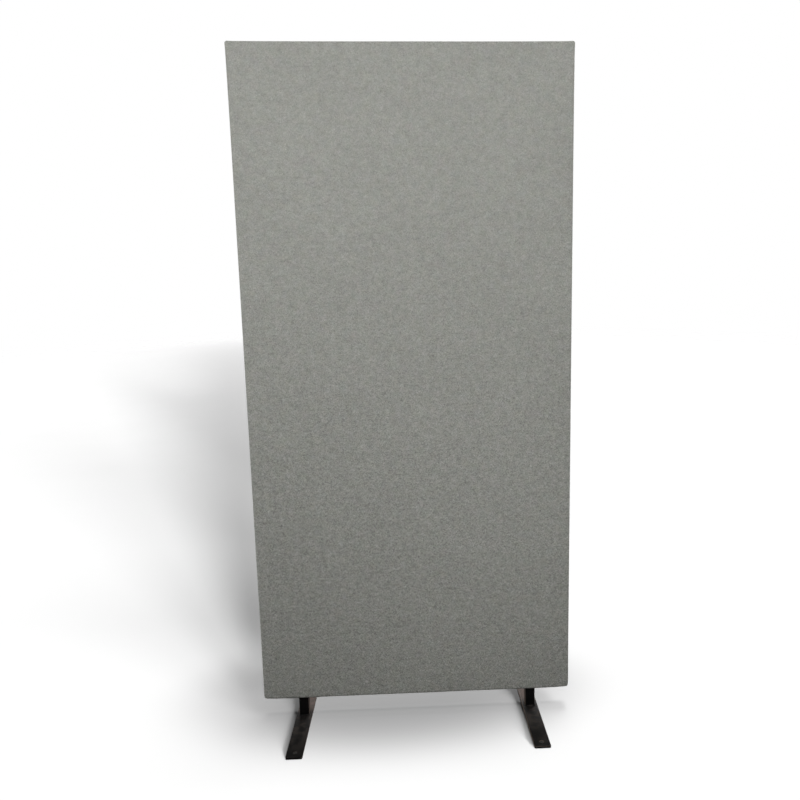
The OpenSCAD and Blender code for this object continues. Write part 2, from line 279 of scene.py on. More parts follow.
floor_material, tree, shader = new_material("pale_floor")
place = add(tree, "TexCoord").outputs["Object"]
far = farness(tree, place)
pale = tint(tree, speckle(tree, place, floor_cloud, detail=3), floor_low, floor_high)
# Painted shadows: the floor's colour darkens under the screen's foot and along the fan.
pale = tint(tree, painted_foot_shadow(tree, place), pale, grey(0))
pale = tint(tree, painted_fan_shadow(tree, place, far), pale, grey(0))
seen = add(tree, "LightPath").outputs["Is Camera Ray"]
feed(tree, shader.inputs["Base Color"], tint(tree, seen, floor_dark, pale))
shader.inputs["Roughness"].default_value = 0.9
shader.inputs["Specular IOR Level"].default_value = 0.0
gone = spread(tree, far, fade_from, fade_to)
clear = add(tree, "BsdfTransparent").outputs[0]
both = add(tree, "MixShader", {0: gone, 1: shader.outputs[0], 2: clear})
feed(tree, tree.nodes["Material Output"].inputs[0], both.outputs[0])
floor_data.materials.append(floor_material)
print("floor radius", floor_radius, "m")

# %% Surroundings
room_low = 0.075
room_high = 0.16
room_from = -0.1
room_to = 0.6

world = bpy.data.worlds.new("studio")
world.use_nodes = True
scene.world = world
tree = world.node_tree
seen = add(tree, "LightPath").outputs["Is Camera Ray"]
direction = add(tree, "TexCoord").outputs["Generated"]
height = add(tree, "SeparateXYZ", {0: direction}).outputs["Z"]
room = spread(tree, height, room_from, room_to, room_low, room_high)
feed(tree, tree.nodes["Background"].inputs["Strength"], blend(tree, seen, room, 1.0))
tree.nodes["Background"].inputs["Color"].default_value = grey(1)

scene.view_settings.view_transform = "Standard"
print("the room is", room_low, "bright below and", room_high, "above")


# %% Lights
sun_place = (0, 0, 4)


def place_light(name, data, place, facing):
    """Puts a lamp in its place, turned to face a direction."""
    light = bpy.data.objects.new(name, data)
    scene.collection.objects.link(light)
    turned = Vector(facing).to_track_quat("-Z", "Y").to_matrix().to_4x4()
    light.matrix_world = Matrix.Translation(place) @ turned
    return light


def light_group(name, state):
    """A collection that holds the floor and takes a lamp's light on it, or keeps it off."""
    group = bpy.data.collections.new(name)
    group.objects.link(floor)
    group.collection_objects[0].light_linking.link_state = state
    return group


only_floor = light_group("only_floor", "INCLUDE")
not_floor = light_group("not_floor", "EXCLUDE")


def soft_box(name, place, facing, size, power):
    """A rectangular soft box that lights the screen and leaves the floor to the others."""
    data = bpy.data.lights.new(name, "AREA")
    data.shape = "RECTANGLE"
    data.size, data.size_y = size
    data.energy = power
    light = place_light(name, data, place, facing)
    light.visible_camera = False
    light.light_linking.receiver_collection = not_floor


def floor_sun(name, facing, softness, strength):
    """A far light that only the floor receives, for its brightness and the screen's shadow."""
    data = bpy.data.lights.new(name, "SUN")
    data.angle = math.radians(softness)
    data.energy = strength
    light = place_light(name, data, sun_place, facing)
    light.light_linking.receiver_collection = only_floor


soft_box("front_light", (-0.36, -1.08, 1.6), (0.0, 0.928, -0.371), size=(3.4, 1.6), power=35.9)
soft_box("low_fill", (0.23, -0.5, 0.4), (0.0, 1.0, 0.0), size=(0.7, 0.7), power=0.55)
soft_box("back_light", (0.7, 2.4, 1.6), (-0.25, -1.0, -0.15), size=(3.0, 1.6), power=52)
soft_box("left_light", (-2.2, 0.7, 1.3), (1.0, -0.25, -0.1), size=(1.2, 1.8), power=26)
soft_box("right_light", (2.2, 0.7, 1.3), (-1.0, -0.25, -0.1), size=(1.2, 1.8), power=26)
soft_box("top_light", (0.1, 0.75, 2.9), (0.0, -0.25, -1.0), size=(2.2, 1.0), power=20)
floor_sun("overhead_sun", (-0.082, -0.076, -1.0), softness=14, strength=2.83)
floor_sun("low_sun", (-0.334, 0.938, -0.095), softness=11, strength=52.5)
floor_sun("middle_sun", (-0.483, 0.830, -0.280), softness=13, strength=6.07)
floor_sun("upper_sun", (-0.429, 0.470, -0.771), softness=21, strength=2.99)

# %% [markdown]
# ## The cloth
#
# The cover is a woven wool cloth. Its yarns are spun from light and dark fibres, so the cloth
# looks grey from afar and shows soft specks close up. A photograph of cloth could be wrapped
# round the panel, but a pattern built from the weave itself stays sharp at any distance. The
# cloth's own flat coordinates, kept in a UV map in metres, carry the pattern round the edges
# as the real cloth goes.

# %% Sizes and shares of the cloth's pattern
cloth_map = "cloth"
yarn_pitch = 1.15 * MM
weave_depth = 0.16 * MM
crown_height = 0.45
yarn_roundness = 0.6
fibre_relief = 0.25
yarn_start = 911.0
yarn_lane = 57.0
melange_length = 5.0 * MM
fibre_length = 1.6 * MM
fibre_width = 0.16 * MM
slub_length = 16 * MM
slub_width = 7 * MM
melange_share = 0.46
fibre_share = 0.28
slub_share = 0.135
mottle_size = 22 * MM
cloud_size = 160 * MM
print("cloth:", round(1 / (yarn_pitch / MM * 0.1), 1), "yarns per centimetre")


# %% Weave of the cloth
def flat_noise(tree, place, detail, rough=0.5):
    """Cloudy noise on a flat pattern, with grains one unit in size."""
    numbers = {"Vector": place, "Scale": 1.0, "Detail": detail, "Roughness": rough}
    return add(tree, "TexNoise", numbers, noise_dimensions="2D").outputs[0]


def hump(tree, value):
    """A round rise and fall within each whole step of a value."""
    part = maths(tree, "FRACT", value)
    return maths(tree, "SINE", maths(tree, "MULTIPLY", part, math.pi))


def plain_weave(tree, across_cloth, along_cloth):
    """The melange and the fibres of the yarn on top, and how high it stands."""
    warp = maths(tree, "FLOOR", across_cloth)
    weft = maths(tree, "FLOOR", along_cloth)
    crossing = maths(tree, "FLOORED_MODULO", maths(tree, "ADD", warp, weft), 2.0)
    warp_on_top = maths(tree, "LESS_THAN", crossing, 0.5)
    along_yarn = blend(tree, warp_on_top, across_cloth, along_cloth)
    across_yarn = blend(tree, warp_on_top, along_cloth, across_cloth)
    yarn = maths(tree, "MULTIPLY_ADD", warp_on_top, 0.5, blend(tree, warp_on_top, weft, warp))

    own = add(tree, "TexWhiteNoise", {"W": yarn}, noise_dimensions="1D").outputs["Value"]
    start = maths(tree, "MULTIPLY", own, yarn_start)
    run = maths(tree, "MULTIPLY_ADD", along_yarn, yarn_pitch / melange_length, start)
    lane = maths(tree, "MULTIPLY", own, yarn_lane)
    melange = flat_noise(tree, joined(tree, run, lane), detail=2.0)
    lengthwise = maths(tree, "MULTIPLY", along_yarn, yarn_pitch / fibre_length)
    crosswise = maths(tree, "MULTIPLY", across_yarn, yarn_pitch / fibre_width)
    fibres = flat_noise(tree, joined(tree, lengthwise, crosswise), detail=1.0)

    round_yarn = maths(tree, "POWER", hump(tree, across_yarn), yarn_roundness)
    crown = maths(tree, "MULTIPLY_ADD", hump(tree, along_yarn), crown_height, 1 - crown_height)
    return melange, fibres, maths(tree, "MULTIPLY", round_yarn, crown)


print("one patch of melange covers", round(melange_length / yarn_pitch, 1), "crossings")

# %% [markdown]
# Low on the panel, where less light falls, the photographed cloth shows more contrast between
# its fibres than near the top. So the spread of the shades shrinks with the height: painted light.

# %% Cloth material
dark_at = 0.36
middle_at = 0.50
light_at = 0.66
dark_fibre = grey(0.10)
middle_fibre = grey(0.27)
light_fibre = grey(0.43)
# Painted light: the fibres' contrast is strongest low down, where less light falls.
contrast_from = -0.75
contrast_to = 0.75
full_contrast = 1.38
lit_top_contrast = 0.62
# The colour is painted darker in the gaps between the yarns, where shade falls.
gap_shade = 0.66
yarn_light = 0.38
cloth_tint = (0.9875, 1.0, 0.915)
tint_spread = 0.13
tint_size = 24 * MM
tint_shift = (3.7, 1.3, 0)


def fibre_colours(tree, axes, melange, fibres):
    """The grey of each fibre, from the melange, the fibres and the slubs together."""
    slub_across = maths(tree, "DIVIDE", axes["X"], slub_length)
    slub_along = maths(tree, "DIVIDE", axes["Y"], slub_width)
    slubs = flat_noise(tree, joined(tree, slub_across, slub_along), detail=3.0, rough=0.8)
    tone = maths(tree, "MULTIPLY", melange, melange_share)
    tone = maths(tree, "MULTIPLY_ADD", fibres, fibre_share, tone)
    tone = maths(tree, "MULTIPLY_ADD", slubs, slub_share, tone)
    mean_tone = (melange_share + fibre_share + slub_share) / 2
    # Painted light: the contrast grades with the height as the light does.
    contrast = spread(tree, axes["Y"], contrast_from, contrast_to, full_contrast, lit_top_contrast)
    tone = maths(tree, "MULTIPLY_ADD", maths(tree, "SUBTRACT", tone, mean_tone), contrast, 0.5)
    ramp = add(tree, "ValToRGB", {0: tone})
    stops = ramp.color_ramp.elements
    stops[0].position = dark_at
    stops[0].color = dark_fibre
    stops[1].position = light_at
    stops[1].color = light_fibre
    middle = stops.new(middle_at)
    middle.color = middle_fibre
    return ramp.outputs[0]


def cloth_material():
    """Plain weave of melange yarns, drawn in the cloth's own flat coordinates."""
    material, tree, shader = new_material("grey_melange_cloth")
    flat = add(tree, "UVMap", uv_map=cloth_map).outputs[0]
    axes = add(tree, "SeparateXYZ", {0: flat}).outputs
    across_cloth = maths(tree, "DIVIDE", axes["X"], yarn_pitch)
    along_cloth = maths(tree, "DIVIDE", axes["Y"], yarn_pitch)
    melange, fibres, rise = plain_weave(tree, across_cloth, along_cloth)
    colour = fibre_colours(tree, axes, melange, fibres)

    mottle = vary(tree, speckle(tree, flat, mottle_size, detail=3), 0.94, 1.05)
    cloud = vary(tree, speckle(tree, flat, cloud_size, detail=2), 0.975, 1.025)
    # Painted shade: the colour darkens in the gaps between the yarns; the mottle and cloud are the
    # cloth's own tone.
    shade = product(tree, mottle, cloud, maths(tree, "MULTIPLY_ADD", rise, yarn_light, gap_shade))
    shade_colour = add(tree, "CombineColor", {0: shade, 1: shade, 2: shade}).outputs[0]
    colour = tint(tree, 1.0, colour, shade_colour, "MULTIPLY")
    hue_place = vector_maths(tree, "ADD", flat, tint_shift)
    hue_numbers = {"Vector": hue_place, "Scale": 1 / tint_size, "Detail": 5.0, "Roughness": 0.75}
    hue = add(tree, "TexNoise", hue_numbers).outputs["Color"]
    hue_low = [value - tint_spread / 2 for value in cloth_tint]
    hue_colour = vector_maths(tree, "MULTIPLY_ADD", hue, [tint_spread] * 3, hue_low)
    feed(tree, shader.inputs["Base Color"], tint(tree, 1.0, colour, hue_colour, "MULTIPLY"))

    height = maths(tree, "MULTIPLY_ADD", fibres, fibre_relief, rise)
    bump = add(tree, "Bump", {"Strength": 0.5, "Distance": weave_depth, "Height": height})
    feed(tree, shader.inputs["Normal"], bump.outputs[0])
    feed(tree, shader.inputs["Roughness"], vary(tree, fibres, 0.86, 0.97))
    shader.inputs["Specular IOR Level"].default_value = 0.25
    shader.inputs["Sheen Weight"].default_value = 0.18
    shader.inputs["Sheen Roughness"].default_value = 0.5
    shader.inputs["Sheen Tint"].default_value = (1, 1, 0.95, 1)
    return material


cloth = cloth_material()
print("cloth material:", len(cloth.node_tree.nodes), "nodes")

# %% [markdown]
# ## The two covers
#
# Front and rear cloth are sewn together along the middle of the sides and the top, pulled over
# the padded frame like a sack, turned under at the bottom and stapled there. Each half starts
# as a box. Bevels round its edges, cuts give it enough points to bend, and small moves make it
# soft: it dips a little towards its edges, waves by half a millimetre, and rises over the
# sewn seam before it turns in. Its upper corners are a little full, and where it turns under
# at the bottom it hangs in a low, uneven roll. Simulated cloth would end up just as tight, so
# it isn't used.

# %% Sizes of the covers
panel_low, panel_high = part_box("front_cover")
rear_low, rear_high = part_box("rear_cover")
edge_r = 6 * MM
cloth_t = 1 * MM
turn_under = 11 * MM
grid_step = 10 * MM
edge_segments = 6
seam_rows = [0.5 * MM, 1.1 * MM, 2.2 * MM, 4 * MM, 7 * MM, 10 * MM, 13 * MM, 16 * MM]
face_depth = panel_high.y - panel_low.y
half_width = panel_high.x
mid_height = (panel_low.z + panel_high.z) / 2
half_height = (panel_high.z - panel_low.z) / 2
print("panel face", round(2 * half_width / MM), "by", round(2 * half_height / MM), "mm")


# %% Helpers for meshes
same_point = 0.001 * MM
near = 0.1 * MM


def box_mesh(low, high):
    """A box between two corners."""
    bm = bmesh.new()
    bmesh.ops.create_cube(bm, size=1.0)
    bmesh.ops.scale(bm, vec=high - low, verts=bm.verts)
    bmesh.ops.translate(bm, vec=(low + high) / 2, verts=bm.verts)
    return bm


def cut_all(bm, axis, places):
    """Cuts the mesh at each place along an axis."""
    normal = Vector((axis == "x", axis == "y", axis == "z"))
    for place in places:
        whole = bm.verts[:] + bm.edges[:] + bm.faces[:]
        point = normal * place
        bmesh.ops.bisect_plane(bm, geom=whole, dist=same_point, plane_co=point, plane_no=normal)


def round_edges(bm, edges, width, segments):
    """Rounds edges with a bevel and gives the faces that it made."""
    made = bmesh.ops.bevel(
        bm, geom=edges, offset=width, offset_type="OFFSET", segments=segments,
        profile=0.5, affect="EDGES", material=-1, clamp_overlap=True,
    )
    return made["faces"]


def steps(low, high, step):
    """Even places between two ends, without the ends."""
    count = max(1, round((high - low) / step))
    return [low + (high - low) * i / count for i in range(1, count)]


def finish_piece(bm, name, material, smooth=True):
    """The object of a finished mesh, in the frame's place."""
    data = bpy.data.meshes.new(name)
    bm.to_mesh(data)
    bm.free()
    data.materials.append(material)
    piece = bpy.data.objects.new(name, data)
    scene.collection.objects.link(piece)
    for face in data.polygons:
        face.use_smooth = smooth
    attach(piece, BODY)
    return piece


def wave(x, z, size, seed):
    """Slow random waves between about -1 and 1."""
    return noise.noise(Vector((x / size, z / size, seed)))


print("cuts up the panel's height:", len(steps(-half_height, half_height, grid_step)))

# %% Shape of the stretched cloth
face_dip = 0.9 * MM
dip_width = 14 * MM
wave_height = 0.35 * MM
wave_mean = 0.6
long_wave = 350 * MM
short_wave = 110 * MM
short_share = 0.5
seam_rise = 0.9 * MM
seam_width = 9 * MM
seam_groove = 0.9 * MM
groove_width = 0.8 * MM
pucker_height = 0.22 * MM
pucker_length = 13 * MM
corner_fullness = 0.9 * MM
fullness_reach = 90 * MM
corner_point = 1.3 * MM
point_reach = 7 * MM
roll_drop = 2.3 * MM
roll_start = 16.6 * MM
roll_grown = 2 * MM
roll_end = 30 * MM
roll_mean = 0.85
roll_change = 0.25
roll_wave = 90 * MM


def face_relief(x, z, seed):
    """How far the cloth's face lies inside its flat plane."""
    to_side = max(0.0, half_width - abs(x))
    to_end = max(0.0, half_height - abs(z - mid_height))
    dip = face_dip * max(math.exp(-to_side / dip_width), math.exp(-to_end / dip_width))
    soft = wave(x, z, long_wave, seed) + short_share * wave(x, z, short_wave, seed + 7)
    return dip + wave_height * (wave_mean + soft)


def seam_lift(depth, along, seed):
    """How far the side of the cloth stands out, at a distance from the seam."""
    lift = seam_rise * math.exp(-((depth / seam_width) ** 4))
    groove = seam_groove * math.exp(-((depth / groove_width) ** 2))
    ripple = wave(along, 0, pucker_length, seed) * math.exp(-depth / seam_width)
    return lift - groove + pucker_height * ripple


def outward(point):
    """The way out from the panel's flat middle, level with its face."""
    reach_x = half_width - edge_r
    reach_z = half_height - edge_r
    x = max(-reach_x, min(reach_x, point.x))
    z = max(-reach_z, min(reach_z, point.z - mid_height)) + mid_height
    away = Vector((point.x - x, 0, point.z - z))
    return away.normalized() if away.length > 1e-7 else away


def share_of(distance, whole):
    """A distance as a share of a whole one, kept between 0 and 1."""
    return max(0.0, min(1.0, distance / whole))


def corner_move(point):
    """How far a full corner pushes the cloth out, and the move of its very tip."""
    to_corner = max(half_width - abs(point.x), half_height - abs(point.z - mid_height))
    way = Vector((math.copysign(1, point.x), 0, math.copysign(1, point.z - mid_height)))
    push = corner_fullness * math.exp(-to_corner / fullness_reach)
    tip = corner_point * math.exp(-((to_corner / point_reach) ** 2))
    return push, way.normalized() * tip


def lower_roll(point, seed):
    """How far the cloth hangs down where it turns under, less towards the sides."""
    beyond = share_of(abs(point.y) - roll_start, roll_grown)
    from_side = share_of(half_width - abs(point.x), roll_end)
    sag = roll_mean + roll_change * wave(point.x, 0, roll_wave, seed)
    return roll_drop * beyond * from_side * sag


print("the seam stands out", round(seam_lift(3 * groove_width, 0, 3) / MM, 2), "mm")

# %% [markdown]
# The flat coordinates are worked out as a tailor would: a point on the rounded edge or on the
# side lies as far beyond the face's edge as the cloth has to travel to reach it. At a corner
# the two sides meet on a mitre.

# %% Flat coordinates of the cloth
def unfolded(point, middle, face_y, side):
    """Where a point of the cover lies on the flat cloth. The face's middle picks its side."""
    depth = abs(point.y - face_y)
    x0 = half_width - edge_r
    z0 = half_height - edge_r
    z = point.z - mid_height
    over_x = abs(middle.x) - x0
    over_z = abs(middle.z - mid_height) - z0
    if over_x <= 0 and over_z <= 0:
        return side * point.x, z
    if depth < edge_r:
        travel = edge_r * math.acos(max(-1.0, 1 - depth / edge_r))
    else:
        travel = edge_r * math.pi / 2 + depth - edge_r
    past_x = max(0.0, abs(point.x) - x0)
    past_z = max(0.0, abs(z) - z0)
    if over_x > over_z:
        turned = edge_r * math.asin(min(1.0, past_z / edge_r)) if past_x < edge_r + MM else 0
        flat_x = x0 + travel
        flat_z = min(abs(z), z0) + turned
    else:
        flat_x = min(abs(point.x), x0) + edge_r * math.asin(min(1.0, past_x / edge_r))
        flat_z = z0 + travel
    return side * math.copysign(flat_x, point.x), math.copysign(flat_z, z)


seam_point = Vector((half_width, 0, mid_height))
seam_place = unfolded(seam_point, seam_point, panel_low.y, 1)
print("the side seam lies", round(seam_place[0] / MM, 1), "mm from the middle of the flat cloth")


# %% Cover builder
face_flatness = 6
front_seed = 3
rear_seed = 11


def cover(name, node, low, high, face_y, seed):
    """One half of the cloth sack, as a sheet that gets its thickness from a modifier."""
    side = -1 if face_y > 0 else 1
    bm = box_mesh(low, high)
    back = [f for f in bm.faces if abs(f.calc_center_median().y) < MM]
    bmesh.ops.delete(bm, geom=back, context="FACES_ONLY")
    rims = [e for e in bm.edges if max(abs(v.co.y) for v in e.verts) > MM]
    round_edges(bm, rims, edge_r, edge_segments)
    flap_x = half_width - edge_r - turn_under
    flap_y = face_depth - edge_r - turn_under
    cut_all(bm, "x", [-flap_x, flap_x])
    cut_all(bm, "y", [math.copysign(flap_y, face_y)])
    hole = [
        f for f in bm.faces
        if abs(f.calc_center_median().z - low.z) < near
        and abs(f.calc_center_median().x) < flap_x
        and abs(f.calc_center_median().y) < flap_y
    ]
    bmesh.ops.delete(bm, geom=hole, context="FACES")
    cut_all(bm, "x", steps(-half_width + edge_r, half_width - edge_r, grid_step))
    cut_all(bm, "z", steps(low.z + edge_r, high.z - edge_r, grid_step))
    cut_all(bm, "y", [math.copysign(row, face_y) for row in seam_rows])

    flat = bm.loops.layers.uv.new(cloth_map)
    for face in bm.faces:
        middle = face.calc_center_median()
        for loop in face.loops:
            loop[flat].uv = unfolded(loop.vert.co, middle, face_y, side)

    for vert in bm.verts:
        depth = abs(vert.co.y)
        out = outward(vert.co)
        inward = face_relief(vert.co.x, vert.co.z, seed)
        share = min(1.0, depth / (face_depth - edge_r))
        move = Vector((0, math.copysign(inward * share ** face_flatness, -face_y), 0))
        if out.length > 0 and vert.co.z > low.z + edge_r:
            along = vert.co.z if abs(out.x) > abs(out.z) else vert.co.x
            push, tip = corner_move(vert.co)
            move += out * (seam_lift(depth, along, seed) + push) + tip
        if out.z < 0:
            move.z += out.z * lower_roll(vert.co, seed)
        vert.co += move
    bm.normal_update()
    piece = finish_piece(bm, name, cloth)
    thick = piece.modifiers.new("cloth_thickness", "SOLIDIFY")
    thick.thickness = cloth_t
    thick.offset = -1
    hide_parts(node)


cover("front_cloth", "front_cover", panel_low, panel_high, panel_low.y, front_seed)
cover("rear_cloth", "rear_cover", rear_low, rear_high, rear_high.y, rear_seed)

# %% [markdown]
# ## Steel feet
#
# The feet are cut from flat bar and square tube, welded, and coated with black powder that
# was baked on. Such a coat has a faint orange-peel surface. It gathers brownish dust on what
# faces up, and shows long scuffs where shoes and brooms pass. Its faces that don't face up get
# painted shade, darker than its top; behind the panel its upper faces get a painted
# reflection in ash grey; and its sides get painted light, a lighter brown in patches. It wears
# first along its edges, which also get a painted highlight there. The construction pieces have
# knife-sharp edges, so copies of them get theirs rounded with a bevel, and the bevel's own
# faces are marked in an attribute that tells the finish where the wear and the highlight belong.

# %% Rounded copies of the hard pieces
wear_and_highlight_mark = "edge_wear_and_highlight"
flat_within = math.radians(1)
sharp_from = math.radians(35)
shading_weight = 60


def softened(node, name, width, material, segments=3):
    """A copy of a hard node with its sharp edges rounded and marked for wear and a painted highlight.
    """
    bm = bmesh.new()
    bm.from_mesh(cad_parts[node].data)
    bmesh.ops.remove_doubles(bm, verts=bm.verts, dist=same_point)
    bmesh.ops.dissolve_limit(
        bm, angle_limit=flat_within, verts=bm.verts, edges=bm.edges, delimit={"NORMAL"}
    )
    sharp = [e for e in bm.edges if e.is_manifold and e.calc_face_angle(0) > sharp_from]
    rounded = set(round_edges(bm, sharp, width, segments))
    # The rounded faces are marked for edge wear and a painted highlight.
    wear = bm.loops.layers.float_color.new(wear_and_highlight_mark)
    for face in bm.faces:
        for loop in face.loops:
            loop[wear] = grey(1.0 if face in rounded else 0.0)
    piece = finish_piece(bm, name, material)
    even = piece.modifiers.new("even_shading", "WEIGHTED_NORMAL")
    even.weight = shading_weight
    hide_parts(node)
    print(name, len(piece.data.polygons), "faces")


print("an edge counts as sharp from", round(math.degrees(sharp_from)), "degrees")

# %% Colours and sizes of the powder coat
coat_black = grey(0.003)
# A darker black: painted shade for faces that don't face up.
coat_side_shade = grey(0.0010)
coat_dust = (0.044, 0.036, 0.031, 1)
# An ash grey: a painted reflection on the upper faces behind the panel.
coat_rear_reflection = (0.115, 0.087, 0.076, 1)
# A lighter brown: painted light on the faces turned left and right.
coat_lit_side = (0.115, 0.085, 0.068, 1)
# A worn brown: edge wear and a painted highlight on the edges.
coat_worn_and_highlight = (0.25, 0.185, 0.145, 1)
dust_cover = 0.8
scuff_cover = 0.35
worn_and_highlight_cover = 0.72
dust_and_reflection_patch = 20 * MM
dust_grain = 0.8 * MM
dust_near = 0.03
dust_far = 0.17
# The painted reflection fades in between these two places behind the panel.
rear_reflection_from = -0.005
rear_reflection_to = 0.05
chip_and_light_size = 4 * MM
scuff_width = 0.7 * MM
scuff_length = 38 * MM
peel_size = 1.1 * MM
peel_depth = 0.06 * MM
grain_relief = 0.15
coat_rough = 0.52
dust_rough = 0.25
scuff_rough = 0.10
print("scuffs are", round(scuff_length / scuff_width), "times as long as wide")


# %% Black powder coat
def powder_coat():
    """Semi-gloss black coat with dust, scuffs and worn edges, and painted shade, light, reflection and
    edge highlight.
    """
    material, tree, shader = new_material("black_powder_coat")
    place = add(tree, "TexCoord").outputs["Object"]
    axes = add(tree, "SeparateXYZ", {0: place}).outputs
    facing = add(tree, "SeparateXYZ", {0: add(tree, "NewGeometry").outputs["Normal"]}).outputs
    lying = spread(tree, facing["Z"], 0.2, 0.9, 0.05, 1.0)
    # Faces turned left or right, which get painted light.
    sideways = spread(tree, maths(tree, "ABSOLUTE", facing["X"]), 0.8, 0.98)
    # Painted reflection: the part of each foot behind the panel.
    rear_reflection_mask = spread(tree, axes["Y"], rear_reflection_from, rear_reflection_to)
    from_middle = maths(tree, "ABSOLUTE", axes["Y"])
    settled = spread(tree, from_middle, dust_near, dust_far, 1.0, 0.32)

    patch_noise = speckle(tree, place, dust_and_reflection_patch, detail=5, rough=0.65)
    patches = spread(tree, patch_noise, 0.42, 0.58, 0.1, 1.1)
    grain_noise = speckle(tree, place, dust_grain, detail=2)
    grains = spread(tree, grain_noise, 0.35, 0.7, 0.5, 1.25, smooth=False)
    dust = product(tree, patches, grains, lying, settled)
    streak = joined(
        tree,
        maths(tree, "DIVIDE", axes["X"], scuff_width),
        maths(tree, "DIVIDE", axes["Y"], scuff_length),
        maths(tree, "DIVIDE", axes["Z"], scuff_width * 4),
    )
    scuffs = spread(tree, speckle(tree, streak, 1.0, detail=3), 0.60, 0.74)
    worn_and_highlight_at = add(tree, "Attribute", attribute_name=wear_and_highlight_mark).outputs["Fac"]
    chips_and_light_patches = spread(tree, speckle(tree, place, chip_and_light_size, detail=4, rough=0.6), 0.25, 0.50)

    # Painted shade: faces that don't face up are a darker black.
    colour = tint(tree, spread(tree, facing["Z"], 0.1, 0.8), coat_side_shade, coat_black)
    layers = (
        (maths(tree, "MULTIPLY", dust, dust_cover, clamp=True), coat_dust),
        (product(tree, scuffs, lying, scuff_cover), coat_dust),
        # Painted reflection: behind the panel the upper faces are ash grey, in patches.
        (product(tree, rear_reflection_mask, lying, blend(tree, patches, 0.55, 0.95)), coat_rear_reflection),
        # Painted light: the faces turned left and right are a lighter brown, in patches.
        (product(tree, sideways, blend(tree, chips_and_light_patches, 0.25, 0.85)), coat_lit_side),
        # Wear and a painted highlight: the rounded edges are a lighter brown, in patches.
        (product(tree, worn_and_highlight_at, chips_and_light_patches, worn_and_highlight_cover), coat_worn_and_highlight),
    )
    for share, layer in layers:
        colour = tint(tree, share, colour, layer)
    feed(tree, shader.inputs["Base Color"], colour)
    rough = maths(tree, "MULTIPLY_ADD", dust, dust_rough, coat_rough)
    rough = maths(tree, "MULTIPLY_ADD", scuffs, scuff_rough, rough)
    feed(tree, shader.inputs["Roughness"], rough)
    shader.inputs["Specular IOR Level"].default_value = 0.13
    peel = maths(tree, "MULTIPLY_ADD", grains, grain_relief, speckle(tree, place, peel_size, detail=2))
    bump = add(tree, "Bump", {"Strength": 0.22, "Distance": peel_depth, "Height": peel})
    feed(tree, shader.inputs["Normal"], bump.outputs[0])
    return material


coat = powder_coat()
bar_edge = 1.2 * MM
plate_edge = 0.5 * MM
tube_edge = 0.3 * MM
for side in ("left", "right"):
    softened(side + "_base_bar", side + "_foot_bar", bar_edge, coat)
    softened(side + "_top_plate", side + "_head_plate", plate_edge, coat)
    softened(side + "_upright", side + "_foot_tube", tube_edge, coat)

# %% [markdown]
# ## Weld beads
#
# Each tube is welded all round to its bar and to its plate. A bead laid by hand is a row of
# small overlapping pools, so it shows ripples even under the coat. Here one ring of eight
# points walks round the tube: it is extruded along each straight side, turned round each
# rounded corner, and joined to its own start, and then every ring swells or shrinks a little.

# %% Weld beads
bead_r = 1.55 * MM
bead_step = 0.8 * MM
pool_length = 2.4 * MM
pool_swell = 0.09
pool_change = 0.05
pool_change_length = 4 * MM
bead_offset = 0.45 * MM
bead_points = 8
bead_join = 0.05 * MM
tube_r = 3.5 * MM


def weld_bead(bm, tube_low, tube_high, seam_z, up):
    """One bead round a square tube, at its foot or its head."""
    half = (tube_high.x - tube_low.x) / 2
    middle = Vector(((tube_low.x + tube_high.x) / 2, (tube_low.y + tube_high.y) / 2, 0))
    straight = half - tube_r
    place = middle + Vector((half + bead_offset, -straight, seam_z + up * bead_offset))
    facing = Matrix.Translation(place) @ Matrix.Rotation(math.pi / 2, 4, "X")
    ring = bmesh.ops.create_circle(bm, segments=bead_points, radius=bead_r, matrix=facing)["verts"]
    first = ring
    rings = [ring]
    side_steps = max(1, round(2 * straight / bead_step))
    turn_steps = max(1, round(math.pi / 2 * (tube_r + bead_offset) / bead_step))
    forward = Vector((0, 2 * straight / side_steps, 0))
    bend = Matrix.Rotation(math.pi / 2 / turn_steps, 3, "Z")
    for quarter in range(4):
        way = Matrix.Rotation(quarter * math.pi / 2, 3, "Z")
        corner = middle + way @ Vector((straight, straight, 0))
        for step in range(side_steps + turn_steps):
            edges = {e for v in ring for e in v.link_edges if e.other_vert(v) in ring}
            grown = bmesh.ops.extrude_edge_only(bm, edges=list(edges))["geom"]
            ring = [v for v in grown if isinstance(v, bmesh.types.BMVert)]
            if step < side_steps:
                bmesh.ops.translate(bm, vec=way @ forward, verts=ring)
            else:
                bmesh.ops.rotate(bm, cent=corner, matrix=bend, verts=ring)
            rings.append(ring)
    bmesh.ops.remove_doubles(bm, verts=first + ring, dist=bead_join)
    for number, ring in enumerate(rings):
        alive = [v for v in ring if v.is_valid]
        if len(alive) < bead_points:
            continue
        middle_point = sum((v.co for v in alive), Vector()) / len(alive)
        phase = math.cos(2 * math.pi * number * bead_step / pool_length)
        change = pool_change * noise.noise(middle_point / pool_change_length)
        size = 1 + pool_swell * phase + change
        for v in alive:
            v.co = middle_point + (v.co - middle_point) * size


for side in ("left", "right"):
    tube_low, tube_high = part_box(side + "_upright")
    bm = bmesh.new()
    weld_bead(bm, tube_low, tube_high, tube_low.z, 1)
    weld_bead(bm, tube_low, tube_high, tube_high.z, -1)
    bmesh.ops.recalc_face_normals(bm, faces=bm.faces)
    beads = finish_piece(bm, side + "_weld_beads", coat)
    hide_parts(side + "_welds")
    print(beads.name, len(beads.data.polygons), "faces")

# %% [markdown]
# ## Fastenings and glides
#
# What holds the feet is small: two screws with washers through each plate, and rivets that
# hold a nylon glide under each end of a bar. The screws are blackened steel, the rivets'
# heads are rubbed, the hidden screws and inserts are zinc plated, and the staples are wire.

# %% Metals and nylon
grain_depth = 0.03 * MM
scratch_size = 1.4 * MM
scratch_depth = 0.05 * MM


